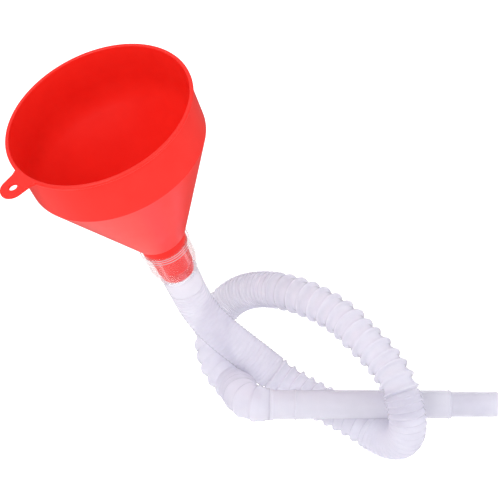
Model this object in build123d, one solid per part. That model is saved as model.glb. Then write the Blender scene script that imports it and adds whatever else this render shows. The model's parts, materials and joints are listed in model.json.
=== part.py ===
from build123d import *
import math
import os

# A pouring funnel with a long flexible hose.  Millimetres.  +Z is up and z = 0 is the surface that the
# hose lies on.  The origin is straight below the middle of the mouth of the clear cuff that takes the
# funnel's spout.  The funnel leans towards -X, and the pouring pipe points along +X.

# funnel, measured down its own axis from the rim
RIM_RADIUS = 71.0
LIP_THICKNESS = 2.4
LIP_OVERHANG = 1.9
BAND_DEPTH = 39.0
BAND_FOOT_RADIUS = 67.6
CONE_DEPTH = 129.0
CONE_FOOT_RADIUS = 20.4
FUNNEL_WALL = 0.8
FUNNEL_DEPTH = 170.0

# collar that the cuff grips, and the spout below it
NECK_RADIUS = 16.9
COLLAR_TOP_DEPTH = 131.0
COLLAR_RADIUS = 17.5
COLLAR_FOOT_DEPTH = 142.0
SPOUT_TOP_RADIUS = 15.7
SPOUT_TIP_RADIUS = 12.9
SPOUT_BEAD_DEPTH = 163.0
SPOUT_BEAD_PROUD = 0.35
SPOUT_BEAD_HEIGHT = 1.6

# hang tab in the plane of the rim
TAB_ANGLE = -138.5
TAB_REACH = 91.5
TAB_TIP_RADIUS = 9.6
TAB_ROOT_HALF_WIDTH = 12.5
TAB_THICKNESS = 2.2
HANG_HOLE_RADIUS = 3.2
HANG_HOLE_REACH = 81.4

# how the funnel stands
LEAN = 18.17
MOUTH_HEIGHT = 145.0
MOUTH_DEPTH = 133.0

# clear cuff, measured down the funnel's axis from the cuff's mouth
CUFF_WALL = 1.2
CUFF_RADIUS = 19.0
CUFF_BORE = COLLAR_RADIUS + 0.3
CUFF_FOOT_RADIUS = 18.2
CUFF_BODY_LENGTH = 27.0
WAIST_RADIUS = 13.3
WAIST_START = 40.0
CUFF_LENGTH = 55.0
CUFF_BEAD_PROUD = 0.5
CUFF_BEAD_HEIGHT = 1.6
CUFF_BEADS = (1.0, 4.2, 7.4)
CUFF_END_RING = 2.0

# flexible hose
HOSE_DIAMETER = 29.0
HOSE_WALL = 1.6
HOSE_ON_TABLE = HOSE_DIAMETER / 2 + 0.1
ARC_SHARE = 0.45

# pouring pipe along +X
PIPE_HEIGHT = 41.0
PIPE_Y = -74.5
PIPE_START_X = 81.0
PIPE_END_X = 253.0
PIPE_WALL = 1.5
PIPE_RADIUS = 11.1
PIPE_FRONT_RADIUS = 10.6
TAIL_CUFF_LENGTH = 20.0
TAIL_RING = 2.0
TAIL_SHOULDER = 3.0
RIDGE_PROUD = 0.7
RIDGE_WIDTH = 1.6
TIP_LENGTH = 35.0
TIP_RADIUS = 9.4
TIP_STEP = 1.0


def funnel_axis():
    """Unit vector from the spout up to the mouth of the funnel."""
    lean = math.radians(LEAN)
    return Vector(-math.sin(lean), 0, math.cos(lean))


def on_funnel(depth):
    """Plane across the funnel at a depth below its rim, facing up its axis."""
    centre = Vector(0, 0, MOUTH_HEIGHT) + funnel_axis() * (MOUTH_DEPTH - depth)
    return Plane(origin=centre, x_dir=(math.cos(math.radians(LEAN)), 0, math.sin(math.radians(LEAN))),
                 z_dir=funnel_axis())


def turned(outline):
    """Solid of revolution about the local Z axis from (radius, height) points."""
    face = make_face(Plane.XZ * Polyline(*outline, close=True))
    return revolve(face, Axis.Z)


def band_radius(depth):
    """Outer radius of the straight upper band, which narrows slightly downwards."""
    top = RIM_RADIUS - LIP_OVERHANG
    return top + (BAND_FOOT_RADIUS - top) * depth / BAND_DEPTH


def cone_radius(depth):
    """Outer radius of the cone."""
    share = (depth - BAND_DEPTH) / (CONE_DEPTH - BAND_DEPTH)
    return BAND_FOOT_RADIUS + (CONE_FOOT_RADIUS - BAND_FOOT_RADIUS) * share


def spout_radius(depth):
    """Outer radius of the tapered spout."""
    share = (depth - COLLAR_FOOT_DEPTH) / (FUNNEL_DEPTH - COLLAR_FOOT_DEPTH)
    return SPOUT_TOP_RADIUS + (SPOUT_TIP_RADIUS - SPOUT_TOP_RADIUS) * share


def funnel_shell():
    """Bowl, cone, collar and spout as one wall, with the rim at z = 0."""
    bead_top = SPOUT_BEAD_DEPTH - SPOUT_BEAD_HEIGHT / 2
    bead_foot = SPOUT_BEAD_DEPTH + SPOUT_BEAD_HEIGHT / 2
    outside = [
        (RIM_RADIUS, 0),
        (RIM_RADIUS, -LIP_THICKNESS),
        (band_radius(LIP_THICKNESS), -LIP_THICKNESS),
        (BAND_FOOT_RADIUS, -BAND_DEPTH),
        (CONE_FOOT_RADIUS, -CONE_DEPTH),
        (NECK_RADIUS, -CONE_DEPTH),
        (NECK_RADIUS, -COLLAR_TOP_DEPTH),
        (COLLAR_RADIUS, -COLLAR_TOP_DEPTH),
        (COLLAR_RADIUS, -COLLAR_FOOT_DEPTH),
        (SPOUT_TOP_RADIUS, -COLLAR_FOOT_DEPTH),
        (spout_radius(bead_top), -bead_top),
        (spout_radius(SPOUT_BEAD_DEPTH) + SPOUT_BEAD_PROUD, -SPOUT_BEAD_DEPTH),
        (spout_radius(bead_foot), -bead_foot),
        (SPOUT_TIP_RADIUS, -FUNNEL_DEPTH),
    ]
    inside = [
        (SPOUT_TIP_RADIUS - FUNNEL_WALL, -FUNNEL_DEPTH),
        (NECK_RADIUS - 1.5 * FUNNEL_WALL, -CONE_DEPTH - FUNNEL_WALL),
        (CONE_FOOT_RADIUS - 1.5 * FUNNEL_WALL, -CONE_DEPTH + 3 * FUNNEL_WALL),
        (BAND_FOOT_RADIUS - FUNNEL_WALL, -BAND_DEPTH - FUNNEL_WALL / 2),
        (RIM_RADIUS - LIP_OVERHANG - FUNNEL_WALL, 0),
    ]
    return turned(outside + inside)


def hang_tab():
    """Flat tab with a round eye, which meets the lip on its outer face."""
    root = RIM_RADIUS
    tip_centre = TAB_REACH - TAB_TIP_RADIUS
    tip = Pos(tip_centre, 0) * Circle(TAB_TIP_RADIUS)
    blade = make_face(Polyline(
        (root - 3, -TAB_ROOT_HALF_WIDTH),
        (root + 1, -TAB_ROOT_HALF_WIDTH + 1),
        (tip_centre, -TAB_TIP_RADIUS),
        (tip_centre, TAB_TIP_RADIUS),
        (root + 1, TAB_ROOT_HALF_WIDTH - 1),
        (root - 3, TAB_ROOT_HALF_WIDTH),
        close=True,
    ))
    flat = blade + tip - Pos(HANG_HOLE_REACH, 0) * Circle(HANG_HOLE_RADIUS)
    tab = extrude(Pos(0, 0, -TAB_THICKNESS) * flat, TAB_THICKNESS)
    mouth = Pos(0, 0, -TAB_THICKNESS) * Cylinder(root, 3 * TAB_THICKNESS)
    return on_funnel(0).location * (Rot(0, 0, TAB_ANGLE) * (tab - mouth))


def funnel_bowl():
    """Lip, bowl, cone, collar and spout, standing at their lean."""
    return on_funnel(0).location * funnel_shell()


def cuff_outside(drop):
    """Outer radius of the clear cuff at a drop below its mouth."""
    return CUFF_RADIUS + (CUFF_FOOT_RADIUS - CUFF_RADIUS) * drop / CUFF_BODY_LENGTH


def hose_cuff():
    """Clear socket over the collar and spout, narrowing to a waist and ending in a ring at the hose."""
    half = CUFF_BEAD_HEIGHT / 2
    outside = [(CUFF_RADIUS, 0)]
    for bead in CUFF_BEADS:
        outside.append((cuff_outside(bead), -bead + half))
        outside.append((cuff_outside(bead) + CUFF_BEAD_PROUD, -bead))
        outside.append((cuff_outside(bead), -bead - half))
    ring_radius = HOSE_DIAMETER / 2
    outside += [
        (CUFF_FOOT_RADIUS, -CUFF_BODY_LENGTH),
        (WAIST_RADIUS, -WAIST_START),
        (WAIST_RADIUS, -CUFF_LENGTH + CUFF_END_RING),
        (ring_radius, -CUFF_LENGTH + CUFF_END_RING),
        (ring_radius, -CUFF_LENGTH),
    ]
    inside = [
        (WAIST_RADIUS - CUFF_WALL, -CUFF_LENGTH),
        (WAIST_RADIUS - CUFF_WALL, -WAIST_START),
        (CUFF_FOOT_RADIUS - CUFF_WALL, -CUFF_BODY_LENGTH),
        (CUFF_BORE - CUFF_WALL / 2, -COLLAR_FOOT_DEPTH + MOUTH_DEPTH - CUFF_WALL),
        (CUFF_BORE, -COLLAR_FOOT_DEPTH + MOUTH_DEPTH - CUFF_WALL / 2),
        (CUFF_BORE, 0),
    ]
    return on_funnel(MOUTH_DEPTH).location * turned(outside + inside)


def hose_start():
    """Middle of the end ring of the cuff, where the hose begins."""
    return Vector(0, 0, MOUTH_HEIGHT) - funnel_axis() * CUFF_LENGTH


def hose_route():
    """Points of the hose: down to the surface, along it, up and over the pipe, round a wide bend,
    under its own first stretch and up into the pipe, as a loose overhand knot."""
    start = hose_start()
    second = start - funnel_axis() * 15
    return [
        start,
        second,
        Vector(29.3, -4.6, 66),
        Vector(40.2, -12, 57),
        Vector(54.9, -19.8, 48.6),
        Vector(72.3, -26.3, 38.8),
        Vector(88.4, -32.3, 26.4),
        Vector(105.1, -40.2, 18.4),
        Vector(121.5, -51.2, HOSE_ON_TABLE),
        Vector(138.5, -62, HOSE_ON_TABLE),
        Vector(154.1, -75, HOSE_ON_TABLE),
        Vector(168.5, -87.4, 15.2),
        Vector(179.8, -98.6, 26),
        Vector(184.3, -101.9, 44),
        Vector(182.4, -94.8, 61),
        Vector(176.4, -80.1, 72),
        Vector(169.5, -66.9, 75),
        Vector(159, -51.2, 77.5),
        Vector(149.5, -40, 78.5),
        Vector(138, -22.2, 78.5),
        Vector(119.9, -4.7, 76.5),
        Vector(98.3, 13.4, 70),
        Vector(75.6, 30.4, 57),
        Vector(55.7, 41, 39),
        Vector(42, 38, 24),
        Vector(35.5, 20.5, 14.9),
        Vector(38, -1, HOSE_ON_TABLE),
        Vector(42.3, -14, HOSE_ON_TABLE),
        Vector(47.1, -25.1, HOSE_ON_TABLE),
        Vector(51, -32.1, HOSE_ON_TABLE),
        Vector(54.8, -40.5, 18.1),
        Vector(57.5, -59.7, 34.4),
        Vector(63, -69.5, 39.7),
        Vector(PIPE_START_X - 10, PIPE_Y, PIPE_HEIGHT),
        Vector(PIPE_START_X, PIPE_Y, PIPE_HEIGHT),
    ]


def bend_radii(points):
    """Radius of the arc at each corner, as large as its two runs allow."""
    radii = []
    for before, corner, after in zip(points, points[1:], points[2:]):
        arriving = corner - before
        leaving = after - corner
        half_turn = math.radians(arriving.get_angle(leaving)) / 2
        radii.append(ARC_SHARE * min(arriving.length, leaving.length) / math.tan(half_turn))
    return radii


def flexible_hose():
    """The hose as a plain tube along its route."""
    points = hose_route()
    radii = bend_radii(points)
    path = FilletPolyline(*points, radius=radii)
    start = Plane(origin=points[0], z_dir=points[1] - points[0])
    ring = Circle(HOSE_DIAMETER / 2) - Circle(HOSE_DIAMETER / 2 - HOSE_WALL)
    tube = sweep(start * ring, path=path)
    section = math.pi * HOSE_WALL * (HOSE_DIAMETER - HOSE_WALL)
    print("hose bend radii:", " ".join(f"{r:.0f}" for r in radii))
    print(f"hose length {path.length:.1f}, volume {tube.volume:.0f}, section x length {section * path.length:.0f}")
    return tube


def along_pipe(solid):
    """Turn a solid modelled up +Z so that it lies along the pouring pipe from its start."""
    return Pos(PIPE_START_X, PIPE_Y, PIPE_HEIGHT) * Rot(0, 90, 0) * solid


def tail_cuff():
    """Short smooth cuff that closes the corrugation, with a ring against the hose and a ridge."""
    bore = PIPE_RADIUS - PIPE_WALL
    ridge = TAIL_CUFF_LENGTH - RIDGE_WIDTH
    return along_pipe(turned([
        (bore, 0),
        (HOSE_DIAMETER / 2, 0),
        (HOSE_DIAMETER / 2, TAIL_RING),
        (PIPE_RADIUS, TAIL_RING + TAIL_SHOULDER),
        (PIPE_RADIUS, ridge),
        (PIPE_RADIUS + RIDGE_PROUD, ridge + RIDGE_WIDTH / 2),
        (PIPE_RADIUS, TAIL_CUFF_LENGTH),
        (bore, TAIL_CUFF_LENGTH),
    ]))


def nozzle_pipe():
    """Long smooth pouring pipe that narrows slightly and steps down to its tip."""
    length = PIPE_END_X - PIPE_START_X
    step = length - TIP_LENGTH
    return along_pipe(turned([
        (PIPE_RADIUS - PIPE_WALL, TAIL_CUFF_LENGTH),
        (PIPE_RADIUS, TAIL_CUFF_LENGTH),
        (PIPE_FRONT_RADIUS, step - 3 * TIP_STEP),
        (PIPE_FRONT_RADIUS + RIDGE_PROUD / 2, step - 2 * TIP_STEP),
        (PIPE_FRONT_RADIUS, step - TIP_STEP),
        (TIP_RADIUS, step),
        (TIP_RADIUS, length),
        (TIP_RADIUS - PIPE_WALL, length),
        (TIP_RADIUS - PIPE_WALL, step),
        (PIPE_FRONT_RADIUS - PIPE_WALL, step - 2 * TIP_STEP),
    ]))


os.makedirs("parts", exist_ok=True)
for make_piece in (funnel_bowl, hang_tab, hose_cuff, flexible_hose, tail_cuff, nozzle_pipe):
    export_step(make_piece(), f"parts/{make_piece.__name__}.step")
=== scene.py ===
import json
import math

import bmesh
import bpy
import numpy as np
from mathutils import Matrix, Vector


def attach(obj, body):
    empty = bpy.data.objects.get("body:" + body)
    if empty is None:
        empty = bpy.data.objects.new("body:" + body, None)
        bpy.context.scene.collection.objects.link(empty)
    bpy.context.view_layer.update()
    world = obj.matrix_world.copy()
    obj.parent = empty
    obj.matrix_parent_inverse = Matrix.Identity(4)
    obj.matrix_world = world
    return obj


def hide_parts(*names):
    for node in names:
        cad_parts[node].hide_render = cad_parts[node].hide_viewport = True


# A red pouring funnel in the clear cuff of a corrugated hose that lies in a loose knot.
# Metres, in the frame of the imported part.  Profiles are written in millimetres and scaled by MM.

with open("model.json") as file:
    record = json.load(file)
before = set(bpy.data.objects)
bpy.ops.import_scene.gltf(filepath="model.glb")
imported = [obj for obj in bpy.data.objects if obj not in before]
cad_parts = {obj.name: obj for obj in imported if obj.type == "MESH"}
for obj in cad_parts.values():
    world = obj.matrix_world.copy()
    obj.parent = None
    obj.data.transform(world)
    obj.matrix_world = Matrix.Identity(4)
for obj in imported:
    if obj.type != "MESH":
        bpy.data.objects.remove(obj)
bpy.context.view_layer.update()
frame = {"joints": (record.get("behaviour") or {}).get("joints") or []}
MM = 0.001

# ---------------------------------------------------------------- sizes
# Radii, walls and depths are in millimetres, and what is in metres says so.

FUNNEL_UP = Vector(frame["joints"][0]["axis"]).normalized()
CUFF_MOUTH = Vector((0, 0, 0.145))  # metres
MOUTH_DEPTH = 133.0             # of the cuff's mouth below the funnel's rim
LIP_DEPTH = 1.15                # of the middle of the hang tab below the rim
TAB_ANGLE = math.radians(-138.5)
EYE_REACH = 81.4                # from the funnel's axis to the eye in the tab
EYE_RADIUS = 3.2

CUFF_RADIUS = 18.8
BEAD_RADIUS = 19.7
BEAD_DROPS = (5.0, 6.9, 9.2)    # of the cuff's ring beads below its mouth
NECK_DROP = 0.0375              # the cuff is milky from here down, metres below its mouth
PAINTED_HIGHLIGHT_REACH = 0.0192             # and, as a painted highlight on the bead crests, where it stands further than this from its axis, metres

HOSE_WALL = 0.6
HOSE_START_RADIUS = 13.8
HOSE_END_RADIUS = 12.1
PLAIN_START = 0.0015            # of the hose before its first rib, metres
LAST_TAPER = 0.0006             # of the hose behind its last rib, metres
PIPE_RADIUS = 11.1
TIP_RADIUS = 9.4
TIP_PAINTED_SHADE_X = 0.216             # the pipe's tip is coloured a shade darker beyond this, metres, as painted shade

# the hose's route, from the funnel's cuff to the pouring pipe
ROUTE = [
    (0.01715, 0, 0.09274),
    (0.02183, 0, 0.07849),
    (0.0293, -0.0046, 0.066),
    (0.0400, -0.0101, 0.0550),
    (0.0543, -0.0155, 0.0436),
    (0.0708, -0.0213, 0.0314),
    (0.0867, -0.0288, 0.0208),
    (0.1041, -0.0392, 0.0154),
    (0.1215, -0.0512, 0.0146),
    (0.1385, -0.062, 0.0146),
    (0.1541, -0.075, 0.0146),
    (0.1685, -0.0874, 0.0152),
    (0.1798, -0.0986, 0.026),
    (0.1843, -0.1019, 0.044),
    (0.1824, -0.0948, 0.061),
    (0.1764, -0.0801, 0.072),
    (0.1695, -0.0669, 0.075),
    (0.159, -0.0512, 0.0775),
    (0.1495, -0.04, 0.0785),
    (0.138, -0.0222, 0.0785),
    (0.1199, -0.0047, 0.0765),
    (0.0983, 0.0134, 0.07),
    (0.0756, 0.0304, 0.057),
    (0.0557, 0.041, 0.039),
    (0.042, 0.038, 0.024),
    (0.0355, 0.0205, 0.0149),
    (0.038, -0.001, 0.0146),
    (0.0423, -0.014, 0.0146),
    (0.0479, -0.0243, 0.0146),
    (0.0525, -0.0309, 0.0151),
    (0.0565, -0.0396, 0.0193),
    (0.0585, -0.056, 0.0333),
    (0.0615, -0.068, 0.0392),
    (0.0725, -0.0745, 0.041),
    (0.081, -0.0745, 0.041),
]
# stretches of the hose: where each ends, in metres along it, how many ribs it has, and the radius of
# their crests and roots, in millimetres.  Some are pushed together, the others pulled out.
STRETCHES = [
    (0.1036, 31, 14.2, 13.85),
    (0.1926, 10, 14.5, 12.0),
    (0.2738, 20, 14.4, 13.3),
    (0.3003, 3, 14.6, 11.6),
    (0.4191, 11, 14.6, 11.6),
    (0.5020, 21, 14.4, 13.4),
    (0.5868, 8, 14.6, 11.9),
    (0.6215, 4, 14.3, 13.0),
]
# one rib: how far along it, as a share of its length, and how far out, as a share of root to crest
RIB = ((0.03, 0), (0.12, 0.5), (0.19, 0.95), (0.235, 1), (0.29, 0.9), (0.45, 0.42), (0.66, 0.1), (0.95, 0))


# ---------------------------------------------------------------- mesh helpers

def rounded(points):
    """Closed outline from (radius, height, rounding) corners, each replaced by a small curve."""
    outline = []
    count = len(points)
    for i, (r, h, rounding) in enumerate(points):
        corner = Vector((r, h))
        before = Vector(points[i - 1][:2]) - corner
        after = Vector(points[(i + 1) % count][:2]) - corner
        turn = math.pi - before.angle(after)
        if turn < 0.02:
            outline.append(corner)
            continue
        steps = 5 if rounding < 8 else 16
        reach = min(rounding * math.tan(turn / 2), 0.49 * before.length, 0.49 * after.length)
        start = corner + before.normalized() * reach
        end = corner + after.normalized() * reach
        for k in range(steps + 1):
            t = k / steps
            outline.append(start * (1 - t) ** 2 + corner * 2 * t * (1 - t) + end * t ** 2)
    return outline


def placed(origin, up, across):
    """Matrix that puts local +Z along up and local +X as near to across as it can be."""
    z = Vector(up).normalized()
    y = z.cross(Vector(across)).normalized()
    x = y.cross(z)
    turn = Matrix((x, y, z)).transposed().to_4x4()
    return Matrix.Translation(origin) @ turn


FUNNEL_PLACE = placed(CUFF_MOUTH + FUNNEL_UP * MOUTH_DEPTH * MM, FUNNEL_UP, (1, 0, 0))
CUFF_PLACE = placed(CUFF_MOUTH, FUNNEL_UP, (1, 0, 0))
PIPE_PLACE = placed(ROUTE[-1], (1, 0, 0), (0, 0, 1))


def new_object(name, mesh):
    """Object in the scene, smooth shaded, for a mesh that is already in place."""
    obj = bpy.data.objects.new(name, mesh)
    bpy.context.scene.collection.objects.link(obj)
    for polygon in mesh.polygons:
        polygon.use_smooth = True
    return obj


def rings_mesh(name, rings):
    """Closed mesh of quads between rings of points, the last ring joined to the first."""
    count = len(rings[0])
    vertices = [tuple(p) for ring in rings for p in ring]
    faces = []
    for i in range(len(rings)):
        a = i * count
        b = (i + 1) % len(rings) * count
        for k in range(count):
            n = (k + 1) % count
            faces.append((a + k, a + n, b + n, b + k))
    mesh = bpy.data.meshes.new(name)
    mesh.from_pydata(vertices, [], faces)
    mesh.update()
    turned = bmesh.new()
    turned.from_mesh(mesh)
    bmesh.ops.recalc_face_normals(turned, faces=turned.faces)
    turned.to_mesh(mesh)
    turned.free()
    return mesh


def lathe(name, corners, place, segments):
    """Solid of revolution, from a closed outline of (radius, height, rounding) corners in millimetres."""
    rings = []
    for r, h in rounded(corners):
        ring = []
        for k in range(segments):
            angle = 2 * math.pi * k / segments
            ring.append(place @ (Vector((r * math.cos(angle), r * math.sin(angle), h)) * MM))
        rings.append(ring)
    return new_object(name, rings_mesh(name, rings))


def weighted(obj):
    """Keep long flat faces flat beside their small roundings."""
    modifier = obj.modifiers.new("weighted", "WEIGHTED_NORMAL")
    modifier.weight = 100


def as_mesh(obj):
    """The object's evaluated mesh, with its modifiers or curve turned into plain geometry."""
    bpy.context.view_layer.update()
    seen = obj.evaluated_get(bpy.context.evaluated_depsgraph_get())
    return bpy.data.meshes.new_from_object(seen)


# ---------------------------------------------------------------- materials

def material(name, colour, roughness, **constants):
    """Principled material, its constants on the shader's own sockets."""
    mat = bpy.data.materials.new(name)
    mat.use_nodes = True
    shader = mat.node_tree.nodes["Principled BSDF"]
    shader.inputs["Base Color"].default_value = (*colour, 1)
    shader.inputs["Roughness"].default_value = roughness
    for socket, value in constants.items():
        shader.inputs[socket.replace("_", " ")].default_value = value
    return mat, shader


def add(mat, kind, **values):
    """Node with its input values set by name."""
    node = mat.node_tree.nodes.new(kind)
    for key, value in values.items():
        node.inputs[key.replace("_", " ")].default_value = value
    return node


def speckled_roughness(mat, shader, coordinates, low, high, scale):
    """Roughness that drifts a little over the surface, as on a handled moulding.  Gives its noise node."""
    noise = add(mat, "ShaderNodeTexNoise", Scale=scale, Detail=3.0)
    spread = add(mat, "ShaderNodeMapRange", To_Min=low, To_Max=high)
    links = mat.node_tree.links
    links.new(coordinates.outputs["Object"], noise.inputs["Vector"])
    links.new(noise.outputs["Fac"], spread.inputs["Value"])
    links.new(spread.outputs["Result"], shader.inputs["Roughness"])
    return noise


def moulded_bump(mat, shader, coordinates, scale, strength, distance):
    """Very fine unevenness of a moulded skin."""
    noise = add(mat, "ShaderNodeTexNoise", Scale=scale, Detail=2.0)
    bump = add(mat, "ShaderNodeBump", Strength=strength, Distance=distance)
    links = mat.node_tree.links
    links.new(coordinates.outputs["Object"], noise.inputs["Vector"])
    links.new(noise.outputs["Fac"], bump.inputs["Height"])
    links.new(bump.outputs["Normal"], shader.inputs["Normal"])


def red_plastic():
    """Red polyethylene that lets a little light through, its shade drifting slightly."""
    mat, shader = material("red_polyethylene", (0.84, 0.02, 0.013), 0.32, IOR=1.4,
                           Subsurface_Weight=0.25, Subsurface_Scale=0.004)
    shader.inputs["Subsurface Radius"].default_value = (1.0, 0.25, 0.2)
    coordinates = mat.node_tree.nodes.new("ShaderNodeTexCoord")
    drift = speckled_roughness(mat, shader, coordinates, 0.27, 0.38, 60.0)
    tint = mat.node_tree.nodes.new("ShaderNodeValToRGB")
    tint.color_ramp.elements[0].color = (0.80, 0.016, 0.010, 1)
    tint.color_ramp.elements[1].color = (0.88, 0.023, 0.014, 1)
    mat.node_tree.links.new(drift.outputs["Fac"], tint.inputs["Fac"])
    mat.node_tree.links.new(tint.outputs["Color"], shader.inputs["Base Color"])
    moulded_bump(mat, shader, coordinates, 900.0, 0.05, 0.0002)
    return mat


def milky_plastic(name, colour, alpha, roughness):
    """Milky, half see-through plastic, its shade drifting a little either side of the colour."""
    drift_of_shade = 0.03
    mat, shader = material(name, colour, roughness, IOR=1.45, Alpha=alpha, Subsurface_Weight=0.7,
                           Subsurface_Scale=0.006)
    shader.inputs["Subsurface Radius"].default_value = (1.0, 1.0, 1.0)
    coordinates = mat.node_tree.nodes.new("ShaderNodeTexCoord")
    drift = speckled_roughness(mat, shader, coordinates, roughness - 0.07, roughness + 0.06, 140.0)
    ramp = mat.node_tree.nodes.new("ShaderNodeValToRGB")
    ramp.color_ramp.elements[0].color = (*[c - drift_of_shade for c in colour], 1)
    ramp.color_ramp.elements[1].color = (*[c + drift_of_shade for c in colour], 1)
    mat.node_tree.links.new(drift.outputs["Fac"], ramp.inputs["Fac"])
    mat.node_tree.links.new(ramp.outputs["Color"], shader.inputs["Base Color"])
    moulded_bump(mat, shader, coordinates, 700.0, 0.04, 0.0002)
    return mat


def clear_plastic():
    """Clear, faintly lavender plastic that shows what is behind it and catches light on its edges."""
    mat, shader = material("clear_cuff_plastic", (0.97, 0.955, 0.99), 0.08, IOR=1.2, Alpha=0.25,
                           Transmission_Weight=0.92, Coat_Weight=1.0, Coat_Roughness=0.05)
    coordinates = mat.node_tree.nodes.new("ShaderNodeTexCoord")
    speckled_roughness(mat, shader, coordinates, 0.05, 0.13, 140.0)
    moulded_bump(mat, shader, coordinates, 700.0, 0.04, 0.0002)
    return mat


RED = red_plastic()
CUFF_CLEAR = clear_plastic()
HOSE_MILKY = milky_plastic("milky_hose_plastic", (0.73, 0.712, 0.835), 0.42, 0.16)
# milky plastic of the cuff's neck, also put on the cuff's bead crests as a painted highlight
NECK_MILKY_AND_BEAD_HIGHLIGHT = milky_plastic("milky_neck_plastic_and_painted_bead_highlight", (0.81, 0.795, 0.91), 0.5, 0.16)
PIPE_MILKY = milky_plastic("milky_nozzle_plastic", (0.75, 0.735, 0.84), 0.6, 0.24)
# a darker copy of the nozzle's plastic for its tip: painted shade
TIP_PAINTED_SHADE = milky_plastic("milky_tip_plastic_painted_shade", (0.66, 0.645, 0.755), 0.62, 0.24)


def dressed(obj, mat, body, slot, *nodes):
    """Give a finished piece its material and body, and hide the CAD nodes it stands for; its slot is not
    used.
    """
    obj.data.materials.clear()
    obj.data.materials.append(mat)
    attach(obj, body)
    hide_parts(*nodes)


# ---------------------------------------------------------------- funnel

def funnel_shell():
    """Lip, band, cone, collar and tapered spout in one wall.  Heights run down from the rim."""
    return lathe("funnel_bowl", [
        (71.0, 0, 1.1),
        (71.0, -2.6, 1.2),
        (69.1, -3.3, 1.0),
        (67.6, -39.0, 1.8),
        (20.4, -129.0, 0.7),
        (16.9, -129.2, 0.5),
        (16.9, -131.0, 0.4),
        (17.5, -131.4, 0.3),
        (17.5, -142.0, 0.5),
        (15.7, -142.4, 0.6),
        (13.75, -162.2, 0.3),
        (14.1, -163.0, 0.4),
        (13.6, -163.8, 0.3),
        (12.9, -170.0, 0.5),
        (11.7, -170.0, 0.4),
        (15.1, -130.2, 3.0),
        (18.6, -125.4, 4.0),
        (66.4, -39.6, 45.0),
        (68.2, -0.1, 0.9),
    ], FUNNEL_PLACE, segments=224)


def hang_tab():
    """Flat tab with a round eye, in the plane of the rim."""
    tip_centre = 81.9
    tip_radius = 9.6
    root = 68.9
    edge_rounding = 0.4 * MM
    outline = [(root, -12.6), (root + 2.6, -11.6), (root + 5.5, -10.4)]
    for k in range(25):
        turn = math.radians(-86 + 172 * k / 24)
        outline.append((tip_centre + tip_radius * math.cos(turn), tip_radius * math.sin(turn)))
    outline += [(root + 5.5, 10.4), (root + 2.6, 11.6), (root, 12.6)]
    eye = []
    for k in range(32):
        turn = 2 * math.pi * k / 32
        eye.append((EYE_REACH + EYE_RADIUS * math.cos(turn), EYE_RADIUS * math.sin(turn)))
    flat = bpy.data.curves.new("hang_tab", "CURVE")
    flat.dimensions = "2D"
    flat.fill_mode = "BOTH"
    flat.extrude = 0.7 * MM
    flat.bevel_depth = edge_rounding
    flat.bevel_resolution = 3
    flat.offset = -edge_rounding
    for loop in (outline, eye):
        spline = flat.splines.new("POLY")
        spline.points.add(len(loop) - 1)
        spline.use_cyclic_u = True
        for point, (x, y) in zip(spline.points, loop):
            point.co = (x * MM, y * MM, 0, 1)
    shape = bpy.data.objects.new("hang_tab", flat)
    bpy.context.scene.collection.objects.link(shape)
    mesh = as_mesh(shape)
    bpy.data.objects.remove(shape)
    lowered = Matrix.Translation((0, 0, -LIP_DEPTH * MM))
    mesh.transform(FUNNEL_PLACE @ Matrix.Rotation(TAB_ANGLE, 4, "Z") @ lowered)
    weld = bmesh.new()
    weld.from_mesh(mesh)
    bmesh.ops.remove_doubles(weld, verts=weld.verts, dist=1e-6)
    bmesh.ops.recalc_face_normals(weld, faces=weld.faces)
    weld.to_mesh(mesh)
    weld.free()
    return new_object("hang_tab", mesh)


def funnel():
    """Shell and tab joined into one moulding."""
    shell = funnel_shell()
    tab = hang_tab()
    union = shell.modifiers.new("tab", "BOOLEAN")
    union.operation = "UNION"
    union.solver = "EXACT"
    union.object = tab
    mesh = as_mesh(shell)
    bpy.data.objects.remove(tab)
    bpy.data.objects.remove(shell)
    joined = new_object("red_funnel", mesh)
    weighted(joined)
    dressed(joined, RED, "funnel", "funnel_plastic", "funnel_bowl", "hang_tab")


# ---------------------------------------------------------------- hose

def route_curve():
    """The hose's smooth centreline, as a curve object with no thickness that is not in the scene yet."""
    data = bpy.data.curves.new("hose_line", "CURVE")
    data.dimensions = "3D"
    data.resolution_u = 16
    spline = data.splines.new("NURBS")
    spline.points.add(len(ROUTE) - 1)
    for point, place in zip(spline.points, ROUTE):
        point.co = (*place, 1)
    spline.order_u = 3
    spline.use_endpoint_u = True
    return bpy.data.objects.new("hose_line", data)


def centreline():
    """Points read from the evaluated curve."""
    curve = route_curve()
    bpy.context.scene.collection.objects.link(curve)
    line = np.array([v.co for v in as_mesh(curve).vertices])
    bpy.data.objects.remove(curve)
    return line


LINE = centreline()
ALONG = np.concatenate([[0], np.cumsum(np.linalg.norm(np.diff(LINE, axis=0), axis=1))])
LINE_LENGTH = float(ALONG[-1])


def on_line(distance):
    """Point of the centreline at a distance along it."""
    return Vector([float(np.interp(distance, ALONG, LINE[:, k])) for k in range(3)])


def rib_stations():
    """(distance, radius) all along the hose: each rib rises steeply and falls back gently."""
    here = PLAIN_START
    stations = [(0.0, HOSE_START_RADIUS - 0.1), (here, HOSE_START_RADIUS)]
    for end, count, crest, root in STRETCHES:
        pitch = (end - here) / count
        for k in range(count):
            for share, rise in RIB:
                stations.append((here + (k + share) * pitch, root + (crest - root) * rise))
        here = end
    stations += [(here + LAST_TAPER, HOSE_END_RADIUS), (LINE_LENGTH, HOSE_END_RADIUS)]
    return stations


def frames_along(distances):
    """Two directions across the line at each distance, carried along it without twist."""
    step = 0.0006
    normal = None
    frames = []
    for distance in distances:
        low = max(0.0, distance - step)
        high = min(LINE_LENGTH, distance + step)
        tangent = (on_line(high) - on_line(low)).normalized()
        if normal is None:
            normal = tangent.orthogonal().normalized()
        normal = (normal - tangent * normal.dot(tangent)).normalized()
        frames.append((normal.copy(), tangent.cross(normal)))
    return frames


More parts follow.
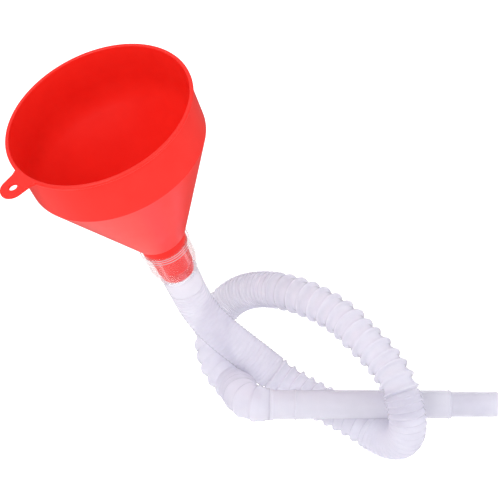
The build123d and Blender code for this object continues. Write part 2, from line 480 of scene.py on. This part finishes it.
def corrugated_hose():
    """The hose as a thin closed wall, its outside and inside following the same ribs."""
    segments = 56
    stations = rib_stations()
    frames = frames_along([distance for distance, _ in stations])
    outside = []
    inside = []
    for (distance, radius), (u, v) in zip(stations, frames):
        centre = on_line(distance)
        for rings, r in ((outside, radius), (inside, radius - HOSE_WALL)):
            ring = []
            for k in range(segments):
                angle = 2 * math.pi * k / segments
                ring.append(centre + (u * math.cos(angle) + v * math.sin(angle)) * r * MM)
            rings.append(ring)
    hose = new_object("corrugated_hose", rings_mesh("corrugated_hose", outside + inside[::-1]))
    dressed(hose, HOSE_MILKY, "hose", "hose_plastic", "flexible_hose")
    return hose


# ---------------------------------------------------------------- cuff and pipe

def clear_cuff():
    """Clear socket with ring beads round its mouth, their crests coloured milky as a painted highlight, a
    shoulder, and a milky neck below the spout.
    """
    bead_half = 0.8
    outline = [(CUFF_RADIUS, -4.0, 0.4)]
    for bead in BEAD_DROPS:
        outline += [
            (CUFF_RADIUS, -bead + bead_half, 0.3),
            (BEAD_RADIUS, -bead, 0.5),
            (CUFF_RADIUS, -bead - bead_half, 0.3),
        ]
    outline += [
        (CUFF_RADIUS, -25.0, 8.0),
        (14.5, -40.0, 10.0),
        (14.3, -54.6, 0.4),
        (13.5, -54.6, 0.3),
        (13.4, -40.0, 10.0),
        (17.7, -25.0, 8.0),
        (17.8, -4.0, 0.4),
    ]
    cuff = lathe("clear_cuff", outline, CUFF_PLACE, segments=128)
    weighted(cuff)
    dressed(cuff, CUFF_CLEAR, "hose", "cuff_plastic", "hose_cuff")
    cuff.data.materials.append(NECK_MILKY_AND_BEAD_HIGHLIGHT)
    # the neck takes the milky colour, and so do the bead crests as a painted highlight
    for polygon in cuff.data.polygons:
        drop = (CUFF_MOUTH - polygon.center).dot(FUNNEL_UP)
        reach = (polygon.center - CUFF_MOUTH + FUNNEL_UP * drop).length
        if drop > NECK_DROP or reach > PAINTED_HIGHLIGHT_REACH:
            polygon.material_index = 1


def nozzle():
    """Smooth cuff, long pipe and stepped tip in one run, from the end of the hose."""
    outline = [
        (12.0, 0, 0.3),
        (11.9, 1.5, 0.5),
        (11.15, 3.0, 0.8),
        (PIPE_RADIUS, 18.4, 0.3),
        (11.8, 19.2, 0.4),
        (PIPE_RADIUS, 20.0, 0.3),
        (10.6, 134.0, 0.3),
        (10.95, 135.0, 0.4),
        (10.6, 136.0, 0.3),
        (TIP_RADIUS, 137.2, 0.4),
        (TIP_RADIUS, 172.0, 0.4),
        (8.2, 172.0, 0.4),
        (8.2, 136.8, 1.0),
        (9.4, 134.0, 1.0),
        (9.9, 20.0, 0.5),
        (9.9, 0, 0.3),
    ]
    pipe = lathe("nozzle_and_tip", outline, PIPE_PLACE, segments=112)
    weighted(pipe)
    dressed(pipe, PIPE_MILKY, "hose", "nozzle_plastic", "nozzle_pipe", "tail_cuff")
    pipe.data.materials.append(TIP_PAINTED_SHADE)
    # faces near the tip take the darker copy: painted shade
    for polygon in pipe.data.polygons:
        polygon.material_index = 1 if polygon.center.x > TIP_PAINTED_SHADE_X else 0
    return pipe


# ---------------------------------------------------------------- stage, light, camera

def stage():
    """Pale floor, bright enough that only the faintest shadow shows."""
    mesh = bpy.data.meshes.new("floor")
    reach = 6.0
    mesh.from_pydata([(-reach, -reach, 0), (reach, -reach, 0), (reach, reach, 0), (-reach, reach, 0)], [],
                     [(0, 1, 2, 3)])
    floor = bpy.data.objects.new("floor", mesh)
    bpy.context.scene.collection.objects.link(floor)
    floor.visible_glossy = False
    mat, shader = material("pale_floor", (0.6, 0.6, 0.6), 0.9, Emission_Strength=0.8)
    shader.inputs["Emission Color"].default_value = (1, 1, 1, 1)
    mesh.materials.append(mat)


def softbox(name, place, target, side, power):
    """Square soft light at a place, facing the target."""
    data = bpy.data.lights.new(name, "AREA")
    data.shape = "RECTANGLE"
    data.size = side
    data.size_y = side
    data.energy = power
    lamp = bpy.data.objects.new(name, data)
    lamp.location = place
    lamp.rotation_euler = (Vector(target) - Vector(place)).to_track_quat("-Z", "Y").to_euler()
    bpy.context.scene.collection.objects.link(lamp)


def lights():
    """White studio, which reflections see as bright above and straight below, with a darker band between."""
    world = bpy.data.worlds.new("studio")
    world.use_nodes = True
    nodes = world.node_tree.nodes
    links = world.node_tree.links
    nodes["Background"].inputs["Strength"].default_value = 0.85
    coordinates = nodes.new("ShaderNodeTexCoord")
    split = nodes.new("ShaderNodeSeparateXYZ")
    height = nodes.new("ShaderNodeMapRange")
    height.inputs["From Min"].default_value = -1
    ramp = nodes.new("ShaderNodeValToRGB")
    steps = ((0.0, 1.0), (0.03, 0.8), (0.10, 0.22), (0.5, 0.2), (0.68, 0.55), (0.85, 0.95))
    while len(ramp.color_ramp.elements) < len(steps):
        ramp.color_ramp.elements.new(1.0)
    for element, (place, grey) in zip(ramp.color_ramp.elements, steps):
        element.position = place
        element.color = (grey, grey, grey, 1)
    path = nodes.new("ShaderNodeLightPath")
    outside = nodes.new("ShaderNodeMath")
    outside.operation = "SUBTRACT"
    outside.use_clamp = True
    links.new(path.outputs["Is Glossy Ray"], outside.inputs[0])
    links.new(path.outputs["Is Transmission Ray"], outside.inputs[1])
    mirrored = nodes.new("ShaderNodeMix")
    mirrored.data_type = "RGBA"
    mirrored.inputs["A"].default_value = (1, 1, 1, 1)
    links.new(coordinates.outputs["Generated"], split.inputs["Vector"])
    links.new(split.outputs["Z"], height.inputs["Value"])
    links.new(height.outputs["Result"], ramp.inputs["Fac"])
    links.new(outside.outputs["Value"], mirrored.inputs["Factor"])
    links.new(ramp.outputs["Color"], mirrored.inputs["B"])
    links.new(mirrored.outputs["Result"], nodes["Background"].inputs["Color"])
    bpy.context.scene.world = world
    target = (0.06, 0, 0.08)
    softbox("key", (-0.8, -0.8, 1.6), target, 0.7, 12.5)
    softbox("side", (1.2, -0.6, 0.8), target, 0.6, 4)


def camera():
    """Square view from the front and above, with a long lens."""
    data = bpy.data.cameras.new("camera")
    data.sensor_width = 36
    data.lens = 172.8
    data.clip_end = 20
    view = bpy.data.objects.new("camera", data)
    view.location = (0.066025, -1.24027, 1.43259)
    view.rotation_euler = (math.radians(43.636), 0, 0)
    bpy.context.scene.collection.objects.link(view)
    bpy.context.scene.camera = view


bpy.context.scene.view_settings.view_transform = "Standard"
bpy.context.scene.cycles.transparent_max_bounces = 32
stage()
lights()
camera()
funnel()
clear_cuff()
hose = corrugated_hose()
pipe = nozzle()
